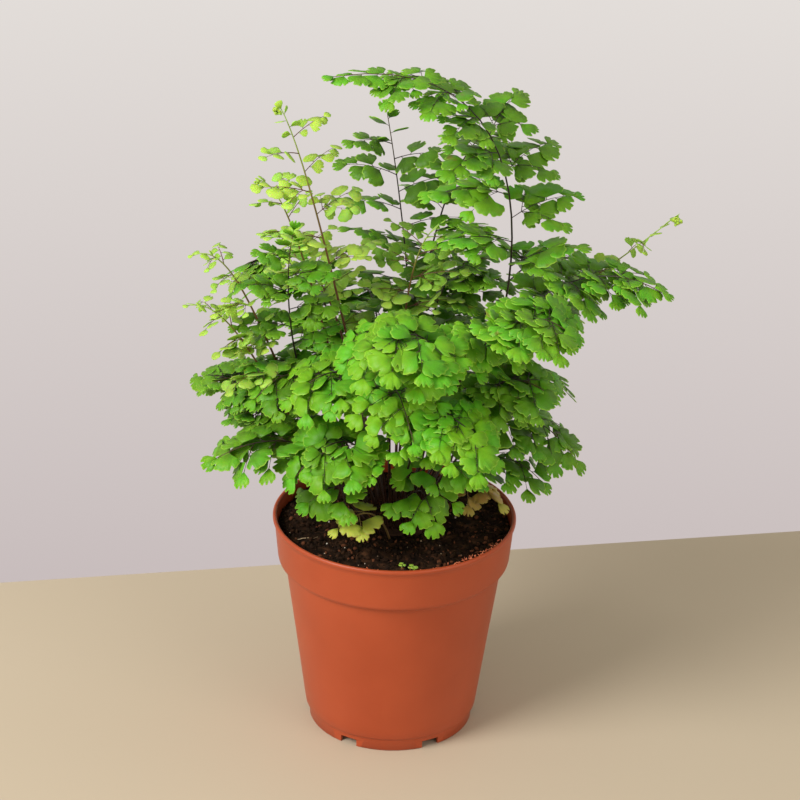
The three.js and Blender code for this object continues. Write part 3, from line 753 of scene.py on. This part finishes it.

# ---------------------------------------------------------------------------------------------------
# Fronds
# Each frond is one wiry stalk that rises from the rhizome, bends over and carries side branches of
# leaflets set alternately. Stalk and leaflets are two pieces that stand for the frond's plain solid.
# ---------------------------------------------------------------------------------------------------
# Name of the solid, age, root, pull, crest, tip (millimetres), share of the stalk below the blade,
# branches, reach, leaflet length, spread (degrees), droop, how pale its green is, which is partly
# painted light and shade (fronds at the lit front are set lighter, those at the back and underneath
# darker), and how many pairs of smaller branches its longest branches carry.
frond_table = [
    ("frond_tall_arching", "mature", (9, 5), (60, 12, 180), (88, 15, 354), (-31, -22, 346),
     0.44, 13, 42, 11, 10, 0.3, 0.35, 1),
    ("frond_back_upright", "mature", (3, 15), (14, 48, 160), (0, 60, 255), (-8, 50, 303),
     0.38, 13, 38, 11, 0, 0.25, 0.1, 0),
    ("frond_young_left", "young", (-3, 2), (-24, 0, 205), (-43, -8, 298), (-56, -10, 325),
     0.5, 8, 30, 9, 15, 0.2, 0.8, 1),
    ("frond_crozier_left", "young", (-8, 7), (-38, 10, 205), (-50, 10, 276), (-66, 5, 284),
     0.45, 8, 26, 8, 20, 0.2, 0.65, 1),
    ("frond_far_left_upper", "young", (-14, 0), (-60, -5, 175), (-72, -10, 262), (-96, -20, 256),
     0.4, 9, 24, 8, 30, 0.3, 0.5, 1),
    ("frond_far_left_lower", "young", (-11, -5), (-60, -10, 168), (-74, -14, 232), (-98, -24, 232),
     0.42, 8, 26, 9, 30, 0.35, 0.35, 1),
    ("frond_left_slender", "mature", (-15, 8), (-50, 0, 165), (-57, -14, 232), (-50, -18, 268),
     0.42, 9, 30, 9, 5, 0.3, 0.3, 1),
    ("frond_left_level", "mature", (-13, 10), (-35, 26, 168), (-68, 14, 186), (-91, 0, 180),
     0.45, 10, 32, 11, 100, 0.25, 0.1, 1),
    ("frond_left_under", "mature", (-8, 15), (-28, 16, 152), (-55, 0, 176), (-78, -12, 168),
     0.5, 7, 28, 11, 100, 0.35, 0.1, 1),
    ("frond_lower_left", "mature", (-7, -4), (-27, -25, 165), (-55, -42, 180), (-83, -50, 166),
     0.48, 8, 26, 15, 60, 0.3, 0.3, 0),
    ("frond_right_long", "mature", (11, 10), (30, 26, 192), (76, 18, 256), (124, 0, 234),
     0.4, 12, 36, 12, 90, 0.25, 0.35, 1),
    ("frond_right_rising", "young", (13, 14), (40, 38, 195), (92, 40, 217), (131, 30, 260),
     0.55, 8, 22, 8, 90, 0.2, 0.3, 0),
    ("frond_front_upper", "mature", (3, -6), (30, -45, 225), (20, -68, 258), (-22, -72, 228),
     0.42, 11, 34, 13, 0, 0.35, 0.7, 1),
    ("frond_front_right", "mature", (7, -3), (26, -36, 225), (54, -48, 254), (78, -54, 236),
     0.42, 12, 31, 13, 80, 0.27, 0.5, 1),
    ("frond_middle_right", "mature", (11, 0), (26, -14, 185), (50, -24, 208), (70, -32, 195),
     0.42, 10, 32, 13, 80, 0.35, 0.3, 1),
    ("frond_right_low", "mature", (15, 3), (35, -2, 172), (62, -8, 186), (86, -14, 152),
     0.5, 7, 26, 14, 90, 0.3, 0.15, 0),
    ("frond_right_lowest", "mature", (12, -6), (26, -15, 150), (50, -20, 166), (70, -24, 144),
     0.5, 6, 18, 14, 90, 0.3, 0.2, 0),
    ("frond_front_low", "mature", (2, -11), (6, -46, 192), (20, -66, 214), (44, -72, 180),
     0.42, 10, 28, 13, 20, 0.4, 0.75, 1),
    ("frond_front_low_left", "mature", (-3, -10), (-8, -38, 168), (-23, -57, 196), (-46, -64, 164),
     0.45, 8, 28, 13, 30, 0.35, 0.5, 1),
    ("frond_centre_left", "mature", (-3, -2), (-10, -24, 195), (-22, -38, 222), (-48, -44, 196),
     0.45, 9, 28, 13, 20, 0.35, 0.55, 2),
    ("frond_centre_upper", "young", (0, 8), (0, 18, 200), (2, 20, 245), (18, 10, 262),
     0.5, 8, 28, 9, 20, 0.2, 0.15, 1),
    ("frond_back_tall", "mature", (0, 19), (6, 42, 215), (22, 70, 286), (48, 95, 280),
     0.38, 10, 34, 11, -20, 0.3, 0.2, 1),
    ("frond_back_right", "mature", (9, 17), (32, 60, 195), (62, 84, 236), (98, 88, 206),
     0.34, 11, 34, 12, 120, 0.3, 0.3, 2),
    ("frond_back_left", "mature", (-7, 18), (-26, 60, 195), (-50, 84, 232), (-84, 82, 204),
     0.34, 11, 34, 12, 60, 0.3, 0.3, 2),
    ("frond_back_low", "mature", (3, 22), (6, 66, 165), (12, 96, 184), (18, 118, 148),
     0.36, 9, 30, 12, 0, 0.35, 0.35, 2),
    ("frond_back_low_left", "mature", (-12, 17), (-38, 50, 155), (-60, 76, 170), (-84, 96, 138),
     0.36, 8, 28, 12, 40, 0.35, 0.3, 2),
    ("frond_back_low_right", "mature", (14, 19), (40, 52, 160), (60, 80, 170), (84, 100, 140),
     0.36, 8, 28, 12, 130, 0.35, 0.3, 1),
    ("frond_low_front", "mature", (6, -13), (8, -30, 145), (13, -42, 154), (18, -50, 136),
     0.5, 4, 18, 14, 20, 0.35, 0.4, 1),
    ("frond_low_left", "mature", (-7, -13), (-15, -28, 142), (-25, -38, 153), (-40, -45, 141),
     0.5, 4, 18, 14, 30, 0.35, 0.4, 1),
    ("old_frond_left", "old", (-2, -17), (-6, -26, 126), (-14, -36, 136), (-26, -44, 127),
     0.55, 3, 12, 13, 20, 0.3, 0.85, 0),
    ("old_frond_right", "old", (17, 8), (26, 8, 124), (38, 3, 130), (50, -3, 121),
     0.55, 3, 12, 12, 90, 0.3, -0.1, 0),
    ("frond_front_middle", "mature", (-2, -6), (-4, -26, 188), (-5, -46, 226), (8, -78, 190),
     0.42, 8, 26, 13, 10, 0.35, 0.6, 1),
    ("frond_low_middle", "mature", (9, -10), (13, -20, 146), (20, -30, 166), (34, -46, 156),
     0.5, 4, 18, 13, 60, 0.35, 0.4, 1),
    ("frond_left_middle", "mature", (-11, 4), (-30, -6, 178), (-44, -20, 214), (-66, -34, 190),
     0.42, 9, 28, 11, 50, 0.3, 0.25, 1),
    ("frond_centre_back", "mature", (4, 11), (12, 24, 195), (16, 30, 240), (42, 26, 238),
     0.45, 9, 30, 11, 10, 0.3, 0.15, 1),
    ("frond_left_inner", "young", (-7, 11), (-24, 24, 190), (-34, 28, 240), (-60, 22, 240),
     0.45, 8, 26, 9, 20, 0.25, 0.35, 1),
    ("frond_back_middle", "mature", (-2, 14), (-6, 40, 180), (-12, 66, 212), (-20, 96, 190),
     0.38, 10, 32, 12, 0, 0.3, 0.35, 1),
    ("frond_back_inner_right", "mature", (7, 22), (20, 44, 162), (32, 68, 190), (48, 100, 166),
     0.38, 9, 30, 12, 150, 0.3, 0.4, 1),
    ("frond_back_inner_left", "mature", (-5, 22), (-14, 46, 160), (-28, 72, 186), (-46, 100, 162),
     0.38, 9, 30, 12, 30, 0.3, 0.4, 1),
]
rhizome_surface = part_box("rhizome")[1].z / MM - 6.5


def wobble(n):
    """An even spread of values from -0.5 to 0.5 that looks irregular."""
    return (n * 0.61803399 + 0.37) % 1 - 0.5


def bezier(ends, t):
    a, b, c, d = ends
    u = 1 - t
    return a * u**3 + b * 3 * u * u * t + c * 3 * u * t * t + d * t**3


def bezier_heading(ends, t):
    a, b, c, d = ends
    u = 1 - t
    return ((b - a) * u * u + (c - b) * 2 * u * t + (d - c) * t * t).normalized()


leaf_kinds = {
    "mature": (mature_leaf, black_stem, fans, end_fans, "foliage_mature"),
    "young": (young_leaf, young_stem, young_fans + fans[4:], young_fans, "foliage_young"),
    "old": (old_leaf, old_stem, fans, end_fans, "foliage_old"),
}
for index, row in enumerate(frond_table):
    name, age, root, pull, crest, tip, blade_from, branches, reach, leaflet, spread, droop, pale, forks = row
    leaf_finish, stem_finish, side_shapes, end_shapes, slot = leaf_kinds[age]
    young = age == "young"
    dice = random.Random(100 + index)
    ends = [Vector((*root, rhizome_surface)) * MM] + [Vector(place) * MM for place in (pull, crest, tip)]
    stem_bm = bmesh.new()
    along_layer = stem_bm.verts.layers.float.new("along")
    leaf_bm = bmesh.new()
    leaf_bm.loops.layers.uv.new("UVMap")
    tint_layer = leaf_bm.verts.layers.float.new("tint")

    stations = [i / 26 for i in range(27)]
    girth = {"mature": 0.72, "young": 0.8, "old": 0.75}[age] * (0.8 if branches < 7 else 1)
    tube(
        stem_bm,
        [bezier(ends, t) for t in stations],
        [girth * MM * (1 - 0.72 * t) for t in stations],
        8,
        along_layer,
        stations,
    )

    def add_leaflet(shapes, at, outward, facing, size, tint):
        """One leaflet, copied from its shape, turned and set down."""
        across = facing.cross(outward).normalized()
        top = outward.cross(across)
        axes = Matrix((outward, across, top)).transposed().to_4x4()
        shape = Matrix.Diagonal((size, size * dice.uniform(0.92, 1.08), size * dice.uniform(0.4, 1.5), 1))
        count = len(leaf_bm.verts)
        leaf_bm.from_mesh(dice.choice(shapes))
        leaf_bm.verts.ensure_lookup_table()
        new = leaf_bm.verts[count:]
        bmesh.ops.transform(leaf_bm, matrix=Matrix.Translation(at) @ axes @ shape, verts=new)
        for vert in new:
            vert[tint_layer] = tint

    def leaflet_row(place, heading, length, bare, facing, size, tint, spacing):
        """Leaflets set alternately along a stem, from its bare foot to the one at its end."""
        count = max(2, round(length * (1 - bare) / (size * spacing)))
        for k in range(count + 1):
            s = bare + (1 - bare) * k / count
            along = heading(s)
            upright = min(1, max(0, (along.z - 0.6) / 0.3))
            across = facing.cross(along).normalized().lerp(level_side, upright)
            across = (across - along * across.dot(along)).normalized()
            normal = along.cross(across)
            grown = size * (0.8 + 0.3 * math.sin(math.pi * min(1, s * 1.1))) * dice.uniform(0.82, 1.12)
            shade = tint + 0.2 * s + dice.uniform(-0.13, 0.13)
            if k == count:
                add_leaflet(end_shapes, place(s), along, normal, grown, shade + 0.1)
                continue
            side = 1 if k % 2 else -1
            forward = math.radians(22 + 24 * s + dice.uniform(-11, 11))
            fall = math.radians(dice.uniform(-8, 20) + (dice.uniform(-22, 22) if young else 0))
            outward = across * side * math.cos(forward) + along * math.sin(forward)
            outward = (outward * math.cos(fall) - normal * math.sin(fall)).normalized()
            overlap = math.radians(dice.uniform(-4, 18) + (dice.uniform(-20, 20) if young else 0))
            overlap -= math.radians(60) * upright
            face = normal * math.cos(overlap) - along * math.sin(overlap)
            add_leaflet(side_shapes, place(s), outward, face, grown, shade)

    def add_branch(at, out, facing, length, size, stalk_share, tint, thickness):
        """A branch: a thin drooping stem and its row of leaflets."""
        steps = 6

        def place(s):
            return at + out * length * s - UP * droop * length * s * s

        def heading(s):
            return (out - UP * 2 * droop * s).normalized()

        tube(
            stem_bm,
            [place(k / steps) for k in range(steps + 1)],
            [thickness * (1 - 0.6 * k / steps) for k in range(steps + 1)],
            4,
            along_layer,
            [min(1, stalk_share + 0.3 * k / steps) for k in range(steps + 1)],
            cap=False,
        )
        leaflet_row(place, heading, length, 0.16, facing, size, tint, 0.6 if young else 0.5)

    bearing = math.radians(spread)
    level_side = Vector((math.cos(bearing), math.sin(bearing), 0))

    def facing_at(at, n):
        """The way a branch faces: up, and outwards where it hangs low at the plant's edge."""
        low = min(1, max(0, (330 - at.z / MM) / 130))
        away = Vector((at.x, at.y, 0)) / (110 * MM) * (0.2 + 0.75 * low)
        face = UP + away
        face.x += 0.3 * wobble(n + 3)
        face.y += 0.3 * wobble(n + 4) - (0.45 if name == "frond_back_upright" else 0.22)
        return face.normalized()

    for i in range(branches - 1):
        share = (i + 0.3) / branches
        t = blade_from + (0.97 - blade_from) * share
        n = index * 17 + i * 5
        at = bezier(ends, t)
        along = bezier_heading(ends, t)
        level = math.hypot(along.x, along.y)
        across = along.cross(UP).normalized()
        side = level_side.lerp(across, level).normalized()
        out = side * (-1 if i % 2 else 1) + along * (0.55 + 0.3 * wobble(n + 1))
        out += across * (1 - level) * 0.9 * wobble(n + 2)
        out.normalize()
        length = reach * MM * (1 - 0.55 * share * share) * (1 + 0.25 * wobble(n)) * 0.88
        face = facing_at(at, n)
        size = leaflet * MM * min(1, 0.62 + length / MM / 90) * (0.95 if young else 0.93)
        size *= 1 - 0.5 * share * share if young else 1
        # The branch's tint is the frond's paleness, part its own green and part painted light and shade,
        # varied a little.
        tint = pale + 0.25 * wobble(n + 7)
        add_branch(at, out, face, length, size, 0.35, tint, 0.26 * MM)
        for start, part in ((0.16, 0.48), (0.4, 0.36))[:forks]:
            if length * part < 8 * MM or (young and share > 0.5):
                continue
            for sign in (1, -1):
                fork = (out + out.cross(face).normalized() * sign * dice.uniform(0.8, 1.1)).normalized()
                foot = at + out * length * start - UP * droop * length * start * start
                add_branch(foot, fork, face, length * part, size * 0.88, 0.4, tint, 0.2 * MM)

    # The end of the frond carries leaflets on the stalk itself; their tint carries the frond's painted light
    # and shade too.
    end_from = blade_from + (0.97 - blade_from) * (branches - 1.6) / branches
    end_length = (bezier(ends, 1) - bezier(ends, end_from)).length
    leaflet_row(
        lambda s: bezier(ends, end_from + (1 - end_from) * s),
        lambda s: bezier_heading(ends, end_from + (1 - end_from) * s),
        end_length,
        0.05,
        facing_at(bezier(ends, 0.95), index),
        leaflet * MM * (0.55 if young else 0.72),
        pale + 0.15,
        0.7 if young else 0.5,
    )

    # A frond that is still unrolling ends in a coiled crozier, with green buds where leaflets will open.
    if name in ("frond_young_left", "frond_crozier_left", "frond_right_rising"):
        heading = bezier_heading(ends, 1)
        inward = heading.cross(UP).cross(heading).normalized() * -1
        coil = []
        centre = bezier(ends, 1) + inward * 2.1 * MM
        for k in range(15):
            turn = k / 14 * math.tau * 1.15
            arm = 2.1 * MM * (1 - 0.62 * k / 14)
            coil.append(centre - inward * arm * math.cos(turn) + heading * arm * math.sin(turn))
        tube(stem_bm, coil, [0.24 * MM * (1 - 0.3 * k / 14) for k in range(15)], 6, along_layer, [1] * 15)
        for k in range(26):
            spot = dice.choice(coil[2:])
            lean = Vector((dice.gauss(0, 1), dice.gauss(0, 1), dice.gauss(0, 1))).normalized()
            size = dice.uniform(0.45, 0.8) * MM
            place = Matrix.Translation(spot + lean * 0.9 * MM)
            bud = bmesh.ops.create_icosphere(leaf_bm, subdivisions=1, radius=size, matrix=place)["verts"]
            for vert in bud:
                vert[tint_layer] = 0.8 + 0.3 * dice.random()
                vert.co += 0.25 * size * noise.noise_vector(vert.co * 900)

    stalk = finish_piece(stem_bm, name + "_stalk", [stem_finish])
    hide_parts(name)
    leaflets = finish_piece(leaf_bm, name + "_leaflets", [leaf_finish, stem_finish])
    skin = leaflets.modifiers.new("leaf thickness", "SOLIDIFY")
    skin.thickness = 0.2 * MM
    skin.offset = 0
    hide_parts(name)

# ---------------------------------------------------------------------------------------------------
# Seedlings
# Two sporelings no bigger than a match head that have come up in the soil at the front. Each is a hair of
# a stalk with two or three round leaves.
# ---------------------------------------------------------------------------------------------------
dice = random.Random(5)
bm = bmesh.new()
bm.loops.layers.uv.new("UVMap")
tint_layer = bm.verts.layers.float.new("tint")
for x, y in ((4, -48), (8, -47), (9.5, -49)):
    foot = Vector((x, y, soil_level(x, y))) * MM
    crown_top = foot + Vector((dice.uniform(-1, 1), dice.uniform(-1, 1), 2.4)) * MM
    path = [foot, (foot + crown_top) / 2, crown_top]
    tube(bm, path, [0.14 * MM, 0.12 * MM, 0.1 * MM], 5, tint_layer, [0.9] * 3)
    for k in range(3):
        turn = Matrix.Rotation(k * 2.1 + x, 4, "Z") @ Matrix.Rotation(dice.uniform(-0.6, 0), 4, "Y")
        count = len(bm.verts)
        bm.from_mesh(young_fans[1])
        bm.verts.ensure_lookup_table()
        new = bm.verts[count:]
        place = Matrix.Translation(crown_top) @ turn @ Matrix.Scale(1.7 * MM, 4)
        bmesh.ops.transform(bm, matrix=place, verts=new)
        for vert in new:
            vert[tint_layer] = 0.75
seedlings = finish_piece(bm, "seedlings", [young_leaf, young_stem])
skin = seedlings.modifiers.new("leaf thickness", "SOLIDIFY")
skin.thickness = 0.12 * MM
skin.offset = 0

# ---------------------------------------------------------------------------------------------------
# Table, light and camera
# A beige table top in front of a pale wall, under a soft light from the upper left.
# ---------------------------------------------------------------------------------------------------
bm = bmesh.new()
bmesh.ops.create_grid(bm, x_segments=1, y_segments=1, size=1)
table_mesh = bpy.data.meshes.new("table_top")
turned = Matrix.Rotation(math.radians(10.4), 4, "Z")
place = turned @ Matrix.Translation((0, 0.157 - 2.5, 0)) @ Matrix.Diagonal((4, 2.5, 1, 1))
bmesh.ops.transform(bm, matrix=place, verts=bm.verts)
bm.to_mesh(table_mesh)
bm.free()
table = bpy.data.objects.new("table_top", table_mesh)
bpy.context.collection.objects.link(table)
table_finish, nodes, links, surface = new_material("beige table top")
place = nodes.new("ShaderNodeTexCoord")
cloud = nodes.new("ShaderNodeTexNoise")
cloud.inputs["Scale"].default_value = 2.5
tone = colour_ramp(nodes, [(0.3, (0.52, 0.44, 0.325)), (0.7, (0.55, 0.47, 0.35))])
links.new(place.outputs["Object"], cloud.inputs["Vector"])
links.new(cloud.outputs["Fac"], tone.inputs["Fac"])
links.new(tone.outputs["Color"], surface.inputs["Base Color"])
surface.inputs["Roughness"].default_value = 0.6
surface.inputs["Specular IOR Level"].default_value = 0.25
table.data.materials.append(table_finish)

world = bpy.data.worlds.new("studio")
bpy.context.scene.world = world
world.use_nodes = True
nodes, links = world.node_tree.nodes, world.node_tree.links
backdrop = nodes["Background"]
ambient = nodes.new("ShaderNodeBackground")
ambient.inputs["Color"].default_value = (1.0, 0.94, 0.85, 1)
ambient.inputs["Strength"].default_value = 0.57
# The wall the camera sees is painted darker and pinker towards the bottom: painted shade on the backdrop.
# All other rays get the even warm ambient light.
direction = nodes.new("ShaderNodeTexCoord")
split = nodes.new("ShaderNodeSeparateXYZ")
links.new(direction.outputs["Generated"], split.inputs["Vector"])
fade = nodes.new("ShaderNodeMapRange")
fade.inputs["From Min"].default_value = -0.5
fade.inputs["From Max"].default_value = -0.3
links.new(split.outputs["Z"], fade.inputs["Value"])
wall_painted_shade = colour_ramp(nodes, [(0.0, (0.56, 0.49, 0.49)), (1.0, (0.77, 0.73, 0.70))])
links.new(fade.outputs["Result"], wall_painted_shade.inputs["Fac"])
links.new(wall_painted_shade.outputs["Color"], backdrop.inputs["Color"])
ray = nodes.new("ShaderNodeLightPath")
chosen = nodes.new("ShaderNodeMixShader")
links.new(ray.outputs["Is Camera Ray"], chosen.inputs["Fac"])
links.new(ambient.outputs["Background"], chosen.inputs[1])
links.new(backdrop.outputs["Background"], chosen.inputs[2])
links.new(chosen.outputs["Shader"], nodes["World Output"].inputs["Surface"])


def soft_light(name, place, width, watts, colour):
    lamp = bpy.data.lights.new(name, "AREA")
    lamp.shape = "DISK"
    lamp.size = width
    lamp.energy = watts
    lamp.color = colour
    holder = bpy.data.objects.new(name, lamp)
    bpy.context.collection.objects.link(holder)
    holder.location = place
    holder.rotation_euler = (Vector((0, 0, 0.15)) - Vector(place)).to_track_quat("-Z", "Y").to_euler()
    return holder


soft_light("key light", (-1.25, -0.95, 1.35), 1.0, 38, (1.0, 0.97, 0.95))
soft_light("fill light", (1.3, -1.2, 0.9), 1.2, 7, (1.0, 0.96, 0.9))

camera_data = bpy.data.cameras.new("camera")
camera_data.sensor_width = 36
camera_data.lens = 134
camera = bpy.data.objects.new("camera", camera_data)
bpy.context.collection.objects.link(camera)
camera.location = (0.0014, -1.3, 0.797)
camera.rotation_mode = "QUATERNION"
look = Vector((0, math.cos(0.447), -math.sin(0.447))).to_track_quat("-Z", "Y")
camera.rotation_quaternion = look @ Matrix.Rotation(math.radians(1.33), 3, "Z").to_quaternion()
bpy.context.scene.camera = camera
bpy.context.scene.view_settings.view_transform = "Standard"
